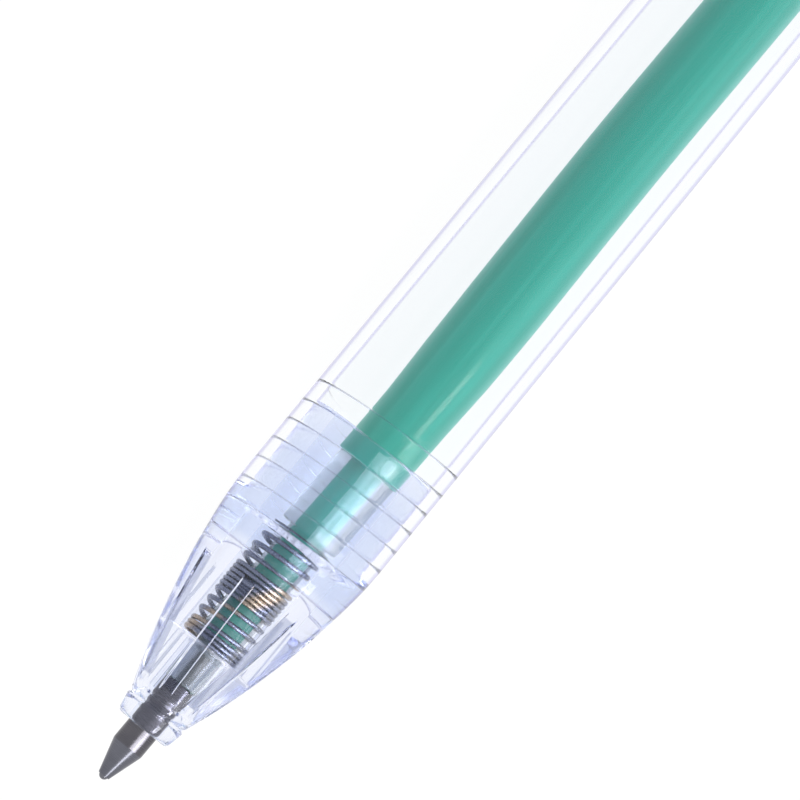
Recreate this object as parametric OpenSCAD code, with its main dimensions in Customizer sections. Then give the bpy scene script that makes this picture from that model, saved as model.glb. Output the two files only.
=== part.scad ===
// Pushbutton ballpoint pen with a clear barrel, lying on its side with the point out.
// The ball's foremost point is the origin, +X runs back along the pen to the button, +Z is up.
// Each piece is drawn along +Z from the ball and then laid down. Sizes are in millimetres.

/* [Nose] */
// How far the point stands out of the nozzle
point_out = 4.35; // [4:0.05:5]
// Length of the nose from its nozzle face to the seam with the barrel
nose_len = 13.75; // [13:0.25:16]
// Outer radius of the nozzle at its front
nozzle_r = 2.08; // [2:0.01:2.3]
// Length of the nozzle's plain collar
nozzle_len = 1.58; // [1.2:0.02:1.8]
// How much the collar widens towards its rear
nozzle_flare = 0.28; // [0:0.01:0.3]
// Radius of the nozzle's rounded front edge
nozzle_edge = 0.4; // [0.1:0.05:0.4]
// Width of the groove behind the nozzle's collar
nozzle_groove = 0.2; // [0.1:0.02:0.3]
// Half of the angle that the nose's convex outline turns through
nose_bow = 6.2; // [3:0.1:8]
// Length of the close bore that guides the metal point
guide_len = 2.3; // [1.5:0.1:3]
// Distance from the nozzle face to the spring's seat
seat_depth = 7.05; // [6.8:0.05:7.3]
// Length of the spigot that enters the barrel
spigot_len = 10.9; // [10.6:0.1:12]
// How far the spigot's wide bore starts in front of the adaptor's shoulder
mouth_lead = 0.6; // [0.5:0.05:0.8]
// Number of flutes around the nose
flute_n = 8; // [6:1:10]
// Width of a flute
flute_w = 0.95; // [0.5:0.05:1.1]
// Depth of a flute
flute_depth = 0.18; // [0.1:0.02:0.4]
// Plain length of the nose in front of the flutes, from the nozzle face
flute_front = 2.7; // [2:0.1:4]
// Plain length of the nose behind the flutes, up to the seam
flute_rear = 1.5; // [1:0.1:3]
// Turn of the nose on its thread
nose_turn = -8; // [-22:1:22]

/* [Barrel] */
// Outer radius of the barrel
barrel_r = 5.82; // [5.7:0.01:6.2]
// How much slimmer the barrel is at its seam
seam_drop = 0.4; // [0.2:0.05:0.6]
// Length over which the barrel swells to its full radius
swell_len = 5; // [3:0.25:8]
// Length of the barrel's true cylinder
straight_len = 37; // [30:1:58]
// How much slimmer the barrel is at its rear end
rear_drop = 0.05; // [0.03:0.01:0.2]
// Wall of the barrel at its front
barrel_wall = 0.84; // [0.7:0.02:1]
// Length of the barrel's straight bore behind the spigot
bore_straight = 2.3; // [1:0.1:4]
// How much narrower the bore is at the barrel's rear
bore_drop = 0.34; // [0.2:0.02:0.4]

/* [Refill] */
// Length of the refill from the ball to its stopper
refill_len = 107; // [104:0.5:112]
// Radius of the ball
ball_r = 0.36; // [0.25:0.01:0.45]
// Length of the point's cone
cone_len = 2.76; // [2.4:0.02:3]
// Radius of the metal point's body
tip_r = 1.175; // [1.1:0.005:1.2]
// Length of the metal point outside the adaptor
tip_len = 8.55; // [8:0.05:8.6]
// Length of the point's shank in the adaptor
shank_len = 2.6; // [2:0.1:3]
// Radius of the shank
shank_r = 0.5; // [0.4:0.05:0.6]
// Radius of the ink channel in the metal point
channel_r = 0.3; // [0.2:0.02:0.35]
// Outer radius of the adaptor's slim front
holder_r = 1.28; // [1.2:0.01:1.32]
// Length of the adaptor's slim front
holder_len = 3.6; // [3.4:0.05:3.8]
// Outer radius of the adaptor's neck inside the spring
neck_r = 1.6; // [1.5:0.02:1.66]
// Distance from the ball to the shoulder that the spring pushes on
neck_end = 21.4; // [20.5:0.1:22]
// Outer radius of the adaptor's body behind the spring
mid_r = 2.3; // [2.2:0.01:2.4]
// Distance from the ball to the front of the tube
mid_end = 27.4; // [27.1:0.1:28]
// Radius of the ink's passage through the adaptor
passage_r = 0.88; // [0.7:0.02:0.95]
// Length of the adaptor's plug inside the tube
adaptor_plug_len = 3.2; // [2:0.1:4]
// Outer radius of the tube at its front
tube_r = 2.52; // [2.4:0.02:2.6]
// How much wider the tube is at its rear end
tube_flare = 0.23; // [0.05:0.02:0.3]
// Wall of the refill tube
tube_wall = 0.45; // [0.3:0.05:0.55]
// Length of the ink's column behind the point's shank
ink_len = 78; // [40:1:80]
// Length of the stopper inside the tube
stopper_len = 4; // [2:0.25:6]
// Thickness of the stopper's rim
stopper_rim = 1; // [0.6:0.1:2]
// Radius of the stopper's air hole
vent_r = 0.5; // [0.3:0.05:0.8]

/* [Spring] */
// Diameter of the spring's wire
wire_d = 0.38; // [0.3:0.01:0.4]
// Number of turns
spring_turns = 11; // [6:0.25:11]

/* [Click mechanism] */
// Stroke of the button and the refill
stroke = 5.6; // [5:0.1:6]
// Number of grooves in the cam sleeve
cam_n = 4; // [3:1:4]
// Radius of the rotor's and the plunger's stems
stem_r = 2.6; // [2.5:0.02:2.7]
// Radius over the fins
fin_r = 3.6; // [3.4:0.05:3.7]
// Width of a fin
fin_w = 1.5; // [1.2:0.05:1.7]
// Length of a rotor fin
rotor_fin = 2.6; // [2:0.1:3.5]
// Height of the crown teeth between the rotor and the plunger
tooth_h = 0.9; // [0.5:0.05:1.1]
// Height of the saw teeth on the cam sleeve's rim
cam_h = 2; // [1:0.1:2.5]
// Length of a plunger fin
plunger_fin = 2.75; // [2.5:0.25:6]
// Radius of the hollow in the rotor and the plunger
hollow_r = 1.5; // [1:0.1:1.7]
// How far the button stands out of the collar when pressed in
button_out = 5; // [3:0.25:8]
// Rounding of the button's end
button_round = 1.1; // [0.5:0.1:2]
// Radius of the stem inside the button
button_stem_r = 1.7; // [1.6:0.05:2]

/* [Collar and clip] */
// Length of the collar behind the plunger's stop
collar_len = 2.6; // [2:0.1:5]
// Length of the collar around the cam sleeve's end
collar_hold = 1.5; // [1:0.1:3]
// Rounding of the collar's rear edge
collar_round = 1.2; // [0.4:0.1:1.8]
// Thickness of the clip's ring
ring_len = 2.6; // [2:0.1:4]
// Length of the clip, from its ring's rear face to its end
clip_len = 38; // [30:0.5:45]
// Radius of the clip's outer face from the pen's axis
clip_r = 9.3; // [8.8:0.05:10]
// Thickness of the clip's arm
clip_t = 1.5; // [1:0.05:1.7]
// Width of the clip at its ring
clip_w = 4.6; // [4:0.1:6]
// Width of the clip at its end
clip_end_w = 3.4; // [2.6:0.1:4]
// How much the arm leans in towards its end
clip_lean = 0.9; // [0.3:0.05:1]
// Length of the pad under the clip's end
pad_len = 5; // [4:0.25:8]

/* [Clearances] */
// Radial clearance of pieces pressed or screwed together
fit = 0.03; // [0.02:0.005:0.05]
// Radial clearance of the ball in its socket
ball_fit = 0.025; // [0.015:0.005:0.04]
// Radial clearance of the metal point in the nozzle
point_fit = 0.16; // [0.14:0.01:0.2]
// Radial room around the adaptor's slim front
holder_room = 0.35; // [0.25:0.01:0.4]
// Radial room around the spring
spring_room = 0.2; // [0.15:0.01:0.3]
// Radial room around the tube in the spigot's wide bore
mouth_room = 0.5; // [0.45:0.05:0.7]
// Gap left where the leaning refill comes nearest the spigot
lean_gap = 0.12; // [0.1:0.01:0.2]
// Radial clearance of the spring where the leaning neck comes nearest
spring_fit = 0.1; // [0.08:0.01:0.2]
// End clearance of the spring and of the rotor's seat
seat_gap = 0.08; // [0.06:0.01:0.12]
// Radial clearance of the stems in the cam sleeve and the collar
stem_fit = 0.2; // [0.1:0.02:0.25]
// Clearance of a fin in its groove, on each side
fin_fit = 0.15; // [0.1:0.01:0.2]
// Gap between the retracted refill and the cam sleeve
cam_gap = 0.4; // [0.3:0.05:0.8]
// Gap between the rotor and the cam sleeve, and free play of the button
play = 0.25; // [0.15:0.01:0.4]
// Gap between the clip's pad and the barrel
pad_gap = 0.2; // [0.15:0.01:0.4]

/* [Hidden] */
$fn = 96;
ARC_STEPS = 12;
ROUND_STEPS = 8;
// Overlap of cutters past the faces that they cut
CUT = 1;
CLEAR_PLASTIC = [0.88, 0.9, 0.98, 0.4];
GREEN = [0.25, 0.62, 0.55];
STEEL = [0.62, 0.64, 0.7];

// Nose and barrel
seam_z = point_out + nose_len;
seam_r = barrel_r - seam_drop;
bore_r = barrel_r - barrel_wall;
nozzle_back_z = point_out + nozzle_len;
nozzle_back_r = nozzle_r + nozzle_flare;
seat_z = point_out + seat_depth;
spigot_z = seam_z + spigot_len;
spigot_r = bore_r - fit;
mouth_z = neck_end - mouth_lead;
mouth_r = tube_r + mouth_room;
barrel_rear_r = barrel_r - rear_drop;
bore_rear_r = bore_r - bore_drop;

// Refill
shank_end = tip_len + shank_len;
holder_end = tip_len + holder_len;
// The shank is pressed into a close bore in front of the ink's passage
shank_bore = shank_r + fit;
adaptor_end = mid_end + adaptor_plug_len;
tube_z = mid_end + fit;
tube_end = refill_len - stopper_rim;
tube_rear_r = tube_r + tube_flare;
// The loose refill lies to one side until its tube nears the spigot's bore
refill_lean = atan((mouth_room - lean_gap) / spigot_z);

// Spring
wire_r = wire_d / 2;
coil_r = neck_r + neck_end * tan(refill_lean) + spring_fit + wire_r;
chamber_r = coil_r + wire_r + spring_room;
coil_z0 = seat_z + seat_gap + wire_r;
coil_z1 = neck_end - seat_gap - wire_r;
CURL_RINGS = 8;
WIRE_SIDES = 6;

// Click mechanism, from the refill's end back to the button
sleeve_r = bore_rear_r - fit;
sleeve_bore = stem_r + stem_fit;
groove_r = fin_r + fin_fit;
groove_w = fin_w + 2 * fin_fit;
rotor_z = refill_len + seat_gap + 2 * fit;
cam_z = rotor_z + stroke + cam_gap;
rotor_fin_end = cam_z - play;
rotor_fin_z = rotor_fin_end - rotor_fin;
rotor_end = rotor_fin_end + tooth_h;
cam_pitch = 2 * sleeve_r * tan(90 / cam_n);
fin_slope = fin_w * cam_h / cam_pitch;
plunger_z = rotor_end + play;
plunger_fin_z = plunger_z + 2 * tooth_h;
plunger_fin_end = plunger_fin_z + plunger_fin;
lip_z = plunger_fin_end + stroke + play;
ring_end = lip_z - collar_hold;
barrel_end = ring_end - ring_len;
collar_end = lip_z + collar_len;
cap_z = lip_z + play;
button_end = collar_end + button_out;
button_wall = stem_r - button_stem_r;

// The pen lies on its barrel and on a lower corner of its clip
clip_roll = asin(clip_w / 2 / clip_r) + acos(barrel_r / clip_r);

// Points of an arc from p0 to p1 that bows out from the axis through half an angle each side
function bowed(p0, p1, half) =
    let (len = norm(p1 - p0),
         along = (p1 - p0) / len,
         out = [along[1], -along[0]],
         rad = len / (2 * sin(half)),
         mid = (p0 + p1) / 2 - out * rad * cos(half))
    [for (i = [0 : ARC_STEPS])
        let (a = half * (2 * i / ARC_STEPS - 1))
        mid + rad * (along * sin(a) + out * cos(a))];

// Points of a round corner about a centre
function corner(mid, rad, from, to) =
    [for (i = [0 : ROUND_STEPS])
        let (a = from + (to - from) * i / ROUND_STEPS)
        mid + rad * [cos(a), sin(a)]];

// Solid turned from an outline of [radius, height] points
module turned(points) {
    rotate_extrude() polygon(points);
}

// Lays a piece of the pen's body down along +X, with the clip turned to the floor
module laid(turn = clip_roll) {
    rotate([turn, 0, 0]) rotate([0, 90, 0]) children();
}

// Lays a piece of the refill down, leaning to the side that it rests on
module leaning() {
    rotate([0, 0, -refill_lean]) rotate([0, 90, 0]) children();
}

// Outline of the nose, sunk below its surface by a depth
function nose_outline(depth) = concat(
    [[0, point_out], [nozzle_r - nozzle_edge - depth, point_out]],
    corner([nozzle_r - nozzle_edge - depth, point_out + nozzle_edge], nozzle_edge, -90, 0),
    [[nozzle_back_r - depth, nozzle_back_z - nozzle_groove],
     [nozzle_back_r - nozzle_groove - depth, nozzle_back_z]],
    bowed([nozzle_back_r - depth, nozzle_back_z + nozzle_groove], [seam_r - depth, seam_z], nose_bow),
    [[0, seam_z]]);

// One flute: a slot with round ends, cut from the outside towards the axis
module flute_slot() {
    front = point_out + flute_front + flute_w / 2;
    rear = seam_z - flute_rear - flute_w / 2;
    rotate([90, 0, 90]) linear_extrude(barrel_r + CUT) {
        translate([-flute_w / 2, front]) square([flute_w, rear - front]);
        translate([0, front]) circle(d = flute_w);
        translate([0, rear]) circle(d = flute_w);
    }
}

module nose_cone() {
    color(CLEAR_PLASTIC) laid(nose_turn) difference() {
        union() {
            difference() {
                turned(nose_outline(0));
                for (i = [0 : flute_n - 1]) rotate(i * 360 / flute_n) flute_slot();
            }
            turned(nose_outline(flute_depth));
            translate([0, 0, seam_z - CUT]) cylinder(r = spigot_r, h = spigot_len + CUT);
        }
        turned([[0, point_out - CUT], [tip_r + point_fit, point_out - CUT],
                [tip_r + point_fit, point_out + guide_len],
                [holder_r + holder_room, point_out + guide_len + holder_room],
                [holder_r + holder_room, seat_z], [chamber_r, seat_z],
                [chamber_r, mouth_z - mouth_room], [mouth_r, mouth_z],
                [mouth_r, spigot_z + CUT], [0, spigot_z + CUT]]);
    }
}

module barrel() {
    swell = atan(seam_drop / swell_len);
    straight_z = seam_z + swell_len;
    color(CLEAR_PLASTIC) laid() turned(concat(
        [[bore_r, seam_z]],
        bowed([seam_r, seam_z], [barrel_r, straight_z], swell),
        [[barrel_r, straight_z + straight_len], [barrel_rear_r, barrel_end],
         [bore_rear_r, barrel_end], [bore_rear_r, cam_z],
         [bore_r, spigot_z + bore_straight]]));
}

// Two teeth for each groove, cut into a rim from below: peak says where in its pitch a cut is deepest
module tooth_cuts(rad, height, peak) {
    pitch = 2 * rad * tan(90 / cam_n);
    for (i = [1 : 2 * cam_n]) rotate(i * 180 / cam_n) rotate([90, 0, 90]) linear_extrude(rad + CUT)
        polygon([[-pitch / 2, 0], [pitch / 2, 0], [pitch * peak, height]]);
}

// Fins around a stem; the rear end of each slopes by a drop across its width
module fins(from, to, drop) {
    intersection() {
        cylinder(r = fin_r, h = to + CUT);
        for (i = [0 : cam_n - 1]) rotate(i * 360 / cam_n) rotate([90, 0, 90])
            linear_extrude(fin_r + CUT) polygon([[-fin_w / 2, from], [fin_w / 2, from],
                [fin_w / 2, to], [-fin_w / 2, to - drop]]);
    }
}

module cam_sleeve() {
    color("white") laid() difference() {
        translate([0, 0, cam_z]) cylinder(r = sleeve_r, h = lip_z - cam_z);
        translate([0, 0, cam_z - CUT]) cylinder(r = sleeve_bore, h = lip_z - cam_z + 2 * CUT);
        intersection() {
            translate([0, 0, cam_z - CUT]) cylinder(r = groove_r, h = lip_z - cam_z + 2 * CUT);
            for (i = [0 : cam_n - 1]) rotate(i * 360 / cam_n)
                translate([0, -groove_w / 2, cam_z - CUT])
                    cube([groove_r, groove_w, lip_z - cam_z + 2 * CUT]);
        }
        translate([0, 0, cam_z]) tooth_cuts(sleeve_r, cam_h, 0.5);
    }
}

module top_collar() {
    front = lip_z - collar_hold;
    color(GREEN) laid() turned(concat(
        [[sleeve_r + fit, front], [barrel_rear_r, front]],
        corner([barrel_rear_r - collar_round, collar_end - collar_round], collar_round, 0, 90),
        [[stem_r + stem_fit, collar_end], [stem_r + stem_fit, lip_z], [sleeve_r + fit, lip_z]]));
}

// Side outline of the clip as [radius, height]: root, arm and the pad under its end
function clip_side() =
    let (tip_z = ring_end - clip_len,
         end_r = clip_r - clip_lean,
         pad_r = barrel_r + pad_gap,
         mid_z = tip_z + pad_len / 2,
         arm_in = clip_r - clip_t)
    concat(
        [[sleeve_r, ring_end]], [[clip_r - ring_len, ring_end]],
        corner([clip_r - ring_len, ring_end - ring_len], ring_len, 90, 0),
        corner([end_r - clip_t / 2, tip_z + clip_t / 2], clip_t / 2, 0, -90),
        corner([pad_r + clip_t / 2, mid_z - pad_len / 4], clip_t / 2, -90, -180),
        [[pad_r, mid_z], [end_r - clip_t, tip_z + pad_len]],
        corner([arm_in - clip_t / 2, barrel_end - clip_t / 2], clip_t / 2, 0, 90),
        [[sleeve_r, barrel_end]]);

module clip() {
    tip_z = ring_end - clip_len;
    color(GREEN) laid() difference() {
        union() {
            translate([0, 0, barrel_end]) cylinder(r = barrel_rear_r, h = ring_len);
            intersection() {
                rotate([90, 0, 0]) linear_extrude(clip_w, center = true) polygon(clip_side());
                rotate([90, 0, 90]) linear_extrude(clip_r + CUT) {
                    polygon([[-clip_w / 2, ring_end], [clip_w / 2, ring_end],
                             [clip_end_w / 2, tip_z + clip_end_w / 2],
                             [-clip_end_w / 2, tip_z + clip_end_w / 2]]);
                    translate([0, tip_z + clip_end_w / 2]) circle(d = clip_end_w);
                }
                translate([0, 0, tip_z - CUT]) cylinder(r = clip_r, h = clip_len + 2 * CUT);
            }
        }
        translate([0, 0, barrel_end - CUT]) cylinder(r = sleeve_r + fit, h = ring_len + 2 * CUT);
    }
}

// Centre line of the spring's wire, with a straight end of one wire diameter at each end
function coil_point(t) = let (a = 360 * spring_turns * t)
    [coil_r * cos(a), coil_r * sin(a), coil_z0 + (coil_z1 - coil_z0) * t];
function coil_way() =
    let (n = ceil(spring_turns * CURL_RINGS),
         first = coil_point(0),
         last = coil_point(1),
         a = 360 * spring_turns)
    concat([first - wire_d * [0, 1, 0]], [for (i = [0 : n]) coil_point(i / n)],
           [last + wire_d * [-sin(a), cos(a), 0]]);

// Ring of points around the wire at one place on its way
function wire_ring(way, i) =
    let (step = way[min(i + 1, len(way) - 1)] - way[max(i - 1, 0)],
         ahead = step / norm(step),
         side = cross(ahead, [0, 0, 1]) / norm(cross(ahead, [0, 0, 1])),
         up = cross(side, ahead))
    [for (k = [0 : WIRE_SIDES - 1])
        let (a = 360 * k / WIRE_SIDES) way[i] + wire_r * (side * cos(a) + up * sin(a))];

// Least gap between turns, measured between centre points more than half a turn apart
function coil_gap(way) =
    min([for (i = [0 : len(way) - 1]) for (j = [i + CURL_RINGS / 2 : 1 : len(way) - 1])
        norm(way[i] - way[j])]) - wire_d;

module return_spring() {
    way = coil_way();
    n = len(way);
    points = [for (i = [0 : n - 1]) each wire_ring(way, i)];
    sides = [for (i = [0 : n - 2]) for (k = [0 : WIRE_SIDES - 1])
        let (a = i * WIRE_SIDES + k,
             b = i * WIRE_SIDES + (k + 1) % WIRE_SIDES)
        each [[a, b, b + WIRE_SIDES], [a, b + WIRE_SIDES, a + WIRE_SIDES]]];
    ends = [for (k = [1 : WIRE_SIDES - 2])
        let (z = (n - 1) * WIRE_SIDES)
        each [[0, k + 1, k], [z, z + k, z + k + 1]]];
    echo("least gap between the spring's turns", coil_gap(way));
    color(STEEL) laid(0) polyhedron(points, concat(sides, ends));
}

// Radius of the tube's widening bore at a distance from the ball
function tube_bore(z) = tube_r - tube_wall + tube_flare * (z - tube_z) / (tube_end - tube_z);

module refill_tube() {
    color(GREEN) leaning() turned([[tube_bore(tube_z), tube_z], [tube_r, tube_z],
        [tube_rear_r, tube_end], [tube_bore(tube_end), tube_end]]);
}

module ink_column() {
    front = shank_end + fit;
    step = adaptor_end + fit;
    back = front + ink_len;
    thin = passage_r - fit;
    color([0.12, 0.5, 0.42]) leaning() turned([[0, front], [thin, front], [thin, step],
        [tube_bore(step) - fit, step], [tube_bore(back) - fit, back], [0, back]]);
}

// The adaptor joins the metal point to the tube, and its shoulder takes the spring's push
module tip_holder() {
    plug_r = tube_bore(tube_z) - fit;
    color("ghostwhite") leaning() turned([[shank_bore, tip_len], [holder_r, tip_len],
        [holder_r, holder_end], [neck_r, holder_end], [neck_r, neck_end], [mid_r, neck_end],
        [mid_r, mid_end], [plug_r, mid_end], [plug_r, adaptor_end], [passage_r, adaptor_end],
        [passage_r, shank_end], [shank_bore, shank_end]]);
}

module writing_tip() {
    socket_r = ball_r + ball_fit;
    lip_z0 = 0.75 * ball_r;
    lip_r = ball_r + 3 * ball_fit;
    color(STEEL) leaning() difference() {
        turned([[0, lip_z0], [lip_r, lip_z0], [tip_r, cone_len], [tip_r, tip_len - fit],
                [shank_r, tip_len - fit], [shank_r, shank_end], [0, shank_end]]);
        translate([0, 0, ball_r]) sphere(r = socket_r);
        cylinder(r = channel_r, h = shank_end + CUT);
    }
}

module ball() {
    color("silver") leaning() translate([0, 0, ball_r]) sphere(r = ball_r);
}

module refill_plug() {
    front = tube_end - stopper_len;
    // The stopper clears the narrowest part of the bore that it stands in
    plug_r = tube_bore(front) - fit;
    color("ghostwhite") leaning() turned([[vent_r, front], [plug_r, front], [plug_r, tube_end + fit],
        [tube_rear_r, tube_end + fit], [tube_rear_r, refill_len], [vent_r, refill_len]]);
}

module rotor() {
    color("white") laid() difference() {
        union() {
            translate([0, 0, rotor_z]) cylinder(r = stem_r, h = rotor_end - rotor_z);
            fins(rotor_fin_z, rotor_fin_end, fin_slope);
        }
        translate([0, 0, rotor_fin_z]) cylinder(r = hollow_r, h = rotor_end);
        translate([0, 0, rotor_end]) mirror([0, 0, 1]) tooth_cuts(stem_r, tooth_h, 0);
    }
}

module plunger() {
    stem_end = button_end - button_wall - fit;
    color("white") laid() difference() {
        union() {
            translate([0, 0, plunger_z]) cylinder(r = stem_r, h = cap_z - fit - plunger_z);
            translate([0, 0, plunger_z]) cylinder(r = button_stem_r - fit, h = stem_end - plunger_z);
            fins(plunger_fin_z, plunger_fin_end, 0);
        }
        translate([0, 0, plunger_z - CUT]) cylinder(r = hollow_r, h = plunger_fin_end - plunger_z + CUT);
        translate([0, 0, plunger_z]) tooth_cuts(stem_r, tooth_h, 0);
    }
}

module push_button() {
    color(GREEN) laid() turned(concat(
        [[button_stem_r, cap_z], [stem_r, cap_z]],
        corner([stem_r - button_round, button_end - button_round], button_round, 0, 90),
        [[0, button_end], [0, button_end - button_wall], [button_stem_r, button_end - button_wall]]));
}

nose_cone();
barrel();
cam_sleeve();
top_collar();
clip();
return_spring();
refill_tube();
ink_column();
tip_holder();
writing_tip();
ball();
refill_plug();
rotor();
plunger();
push_button();
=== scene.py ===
"""Looks of a clear-barrelled pushbutton ballpoint pen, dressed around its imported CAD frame.

The pen lies along +X with its ball at the origin. Sizes below are in millimetres unless they say otherwise,
and MM turns them into Blender's metres. Azimuths run from +Z, which faces the camera, towards +Y.
"""

import math

import bmesh
import bpy
import numpy as np
from mathutils import Matrix, Vector

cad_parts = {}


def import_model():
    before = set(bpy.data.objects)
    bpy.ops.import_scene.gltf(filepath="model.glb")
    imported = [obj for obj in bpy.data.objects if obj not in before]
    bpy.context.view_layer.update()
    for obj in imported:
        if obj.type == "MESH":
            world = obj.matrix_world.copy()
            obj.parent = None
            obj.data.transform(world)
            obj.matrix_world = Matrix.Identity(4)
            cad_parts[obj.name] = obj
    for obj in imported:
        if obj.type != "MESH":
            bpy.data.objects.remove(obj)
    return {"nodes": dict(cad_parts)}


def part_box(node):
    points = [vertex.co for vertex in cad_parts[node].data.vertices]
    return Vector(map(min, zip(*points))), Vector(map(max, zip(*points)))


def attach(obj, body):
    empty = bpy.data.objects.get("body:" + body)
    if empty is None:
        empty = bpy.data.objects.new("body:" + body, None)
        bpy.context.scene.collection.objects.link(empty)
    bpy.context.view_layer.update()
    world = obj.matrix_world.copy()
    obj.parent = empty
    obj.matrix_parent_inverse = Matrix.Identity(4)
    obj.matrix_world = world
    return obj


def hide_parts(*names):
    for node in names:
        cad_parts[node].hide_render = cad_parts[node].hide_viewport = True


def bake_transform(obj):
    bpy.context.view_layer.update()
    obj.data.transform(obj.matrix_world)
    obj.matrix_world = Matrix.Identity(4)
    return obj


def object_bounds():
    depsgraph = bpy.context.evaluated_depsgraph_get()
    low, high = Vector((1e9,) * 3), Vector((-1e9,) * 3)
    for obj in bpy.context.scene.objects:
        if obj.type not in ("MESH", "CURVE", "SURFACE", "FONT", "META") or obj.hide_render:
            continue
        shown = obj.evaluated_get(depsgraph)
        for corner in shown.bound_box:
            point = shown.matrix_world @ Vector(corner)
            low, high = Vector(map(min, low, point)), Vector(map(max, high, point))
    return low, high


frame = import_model()
cad_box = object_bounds()

MM = 0.001


def span(node):
    """A CAD node's lowest and highest corners, in millimetres."""
    low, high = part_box(node)
    return low / MM, high / MM


# Places and radii read from the frame
nose_low, nose_high = span("nose_cone")
barrel_low, barrel_high = span("barrel")
spring_low, spring_high = span("return_spring")
NOZZLE_X = nose_low.x
SEAM_X = barrel_low.x
SPIGOT_X = nose_high.x
BARREL_X = barrel_high.x
BARREL_R = barrel_high.z
FLOOR_Z = cad_box[0].z

# Meshes: distances within which points merge, angles in degrees, the share of an edge that a fillet may take,
# and how many steps, columns and rows there are
MERGE = 0.0004
CAD_MERGE = 0.001
SHARP_ANGLE = 40
WIRE_SHARP_ANGLE = 60
BEVEL_ANGLE = 35
FLAT_ANGLE = 0.5
FILLET_SHARE = 0.45
FILLET_STEPS = 4
BARREL_COLUMNS = 192
REFILL_COLUMNS = 96
NOSE_ARC_STEPS = 60
SWELL_STEPS = 24
NOSE_ROWS = 110
STRAIGHT_ROWS = 15
BORE_ROWS = 21
NECK_ROWS = 10
MID_ROWS = 7
PASSAGE_ROWS = 20
TUBE_ROWS = 60

# Widths of the rounded edges on the pieces that keep their CAD shape
CLIP_BEVEL = 0.18
CAP_BEVEL = 0.1
CLICK_BEVEL = 0.06

# Nose
NOZZLE_R = 2.08
NOZZLE_BACK_R = 2.36
NOZZLE_LEN = 1.58
NOZZLE_EDGE = 0.4
NOZZLE_GROOVE = 0.2
NOSE_BOW = math.radians(6.2)
SEAM_STEP = 0.4
SEAM_R = BARREL_R - SEAM_STEP
SEAM_GAP = 0.05
SEAM_EDGE = 0.07
FLUTES = 8
FLUTE_HALF = 0.52
FLUTE_DEPTH = 0.18
FLUTE_EDGE = 0.09
FLUTE_FRONT_X = NOZZLE_X + 2.7
FLUTE_REAR_X = SEAM_X - 1.5
FLUTE_RUN_OUT = 0.9
FLUTE_AZIMUTH = math.radians(8)
# The nose's mesh columns near a flute's wall, by their distance from it
FLUTE_COLUMNS = np.array([-0.3, -0.14, -0.095, -0.07, -0.05, -0.03, -0.01, 0.015, 0.045, 0.12])
GUIDE_R = 1.335
GUIDE_X = NOZZLE_X + 2.3
GUIDE_TAPER = 0.35
HOLDER_BORE_R = 1.63
SEAT_X = NOZZLE_X + 7.05
CHAMBER_R = 2.56
MOUTH_R = 3.36
MOUTH_X = 20.8
MOUTH_TAPER = 0.5
SPIGOT_R = 4.95

# The flutes' floors are frosted and tinted blue-grey, which is painted shade. A cone of this slope, and of
# this radius at X 0, lies between the nose's bores and its outer face
OUTSIDE_SLOPE = 0.17
OUTSIDE_R = 1.0
FLUTE_SHADE_TINT = (0.44, 0.48, 0.63)
FROST_ROUGHNESS = (0.2, 0.2, 0.2)
# The spigot's outer face is a deeper lilac than the rest of the nose, and fades towards its rear end
SPIGOT_TINT = (0.72, 0.775, 0.935)
SPIGOT_TINT_X = (18.3, 19, 25.5, 30)
SEAM_TINT = (0.3, 0.31, 0.47)

# Barrel
SWELL_LEN = 5
STRAIGHT_LEN = 37
BARREL_REAR_R = BARREL_R - 0.05
BORE_R = 4.98
# The bore grips the spigot in front, a hair into it, so that no film of air shows there
TIGHT_R = 4.93
TIGHT_X = (20.9, 22.6)
BORE_REAR_R = 4.64
BORE_STRAIGHT_X = SPIGOT_X + 2.3
BORE_REAR_X = 113.14

# Thread between the nose's spigot and the barrel: right-handed, one of its lines crosses +Z at THREAD_LINE_X
THREAD_PITCH = 1.65
THREAD_LINE_X = 22.32
# Mesh rows over one pitch: plain ones as shares of the pitch, and ones on the thread as shares of its width
THREAD_PLAIN = np.array([-0.5, -0.42, -0.34, -0.26, -0.18, -0.12])
THREAD_FLANKS = np.array([-0.62, -0.5, -0.38, -0.25, -0.12, 0, 0.12, 0.25, 0.38, 0.5, 0.62])
THREAD_CREST = 0.25
THREAD_FADE_IN = 0.6
THREAD_FADE_OUT = 0.3
FEMALE_X = (19.2, 31.2)
FEMALE_DEPTH = 0.03
FEMALE_WIDTH = 0.08
MALE_X = (20.9, SPIGOT_X - 0.5)
MALE_HEIGHT = 0.035
MALE_WIDTH = 0.08

# Refill, which leans to the side that it rests on and bows a little between BOW_X
LEAN = math.atan(0.38 / SPIGOT_X)
BOW = 0.4
BOW_X = (8, 60)
LIP_X = 0.27
LIP_R = 0.435
SOCKET_R = 0.38
SOCKET_X = LIP_X + 0.45
CONE_X = 2.76
CONE_EDGE = 0.05
TIP_R = 1.175
METAL_X = 8.52
TIP_X = 8.55
SHANK_R = 0.5
SHANK_BORE_R = 0.53
SHANK_X = 11.15
CHANNEL_R = 0.3
CHANNEL_X = LIP_X + 0.62
# The ink stands a hair into the passage's wall, so that no film of air shows there
WETTING = 0.02
INK_FRONT_X = 12.3
PASSAGE_R = 0.88
HOLDER_R = 1.28
HOLDER_X = 12.15
NECK_R = 1.6
NECK_X = 21.4
MID_R = 2.3
MID_X = 27.4
PLUG_R = 2.04
ADAPTOR_X = 30.6
TUBE_X = 106
TUBE_R = ((27.4, 32.5, 34.5, 37, 42, 54, TUBE_X), (2.52, 2.54, 2.61, 2.7, 2.77, 2.79, 2.8))
TUBE_WALL = 0.45
TUBE_GAP = 0.03
INK_X = 89.18
INK_STEP = 1.5
# The hollow in the ink's rear end: its depth and radius at the rim, and its depth in the middle
INK_RIM_DEPTH = 0.6
INK_RIM_R = 1.2
INK_HOLLOW = 0.8

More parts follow.
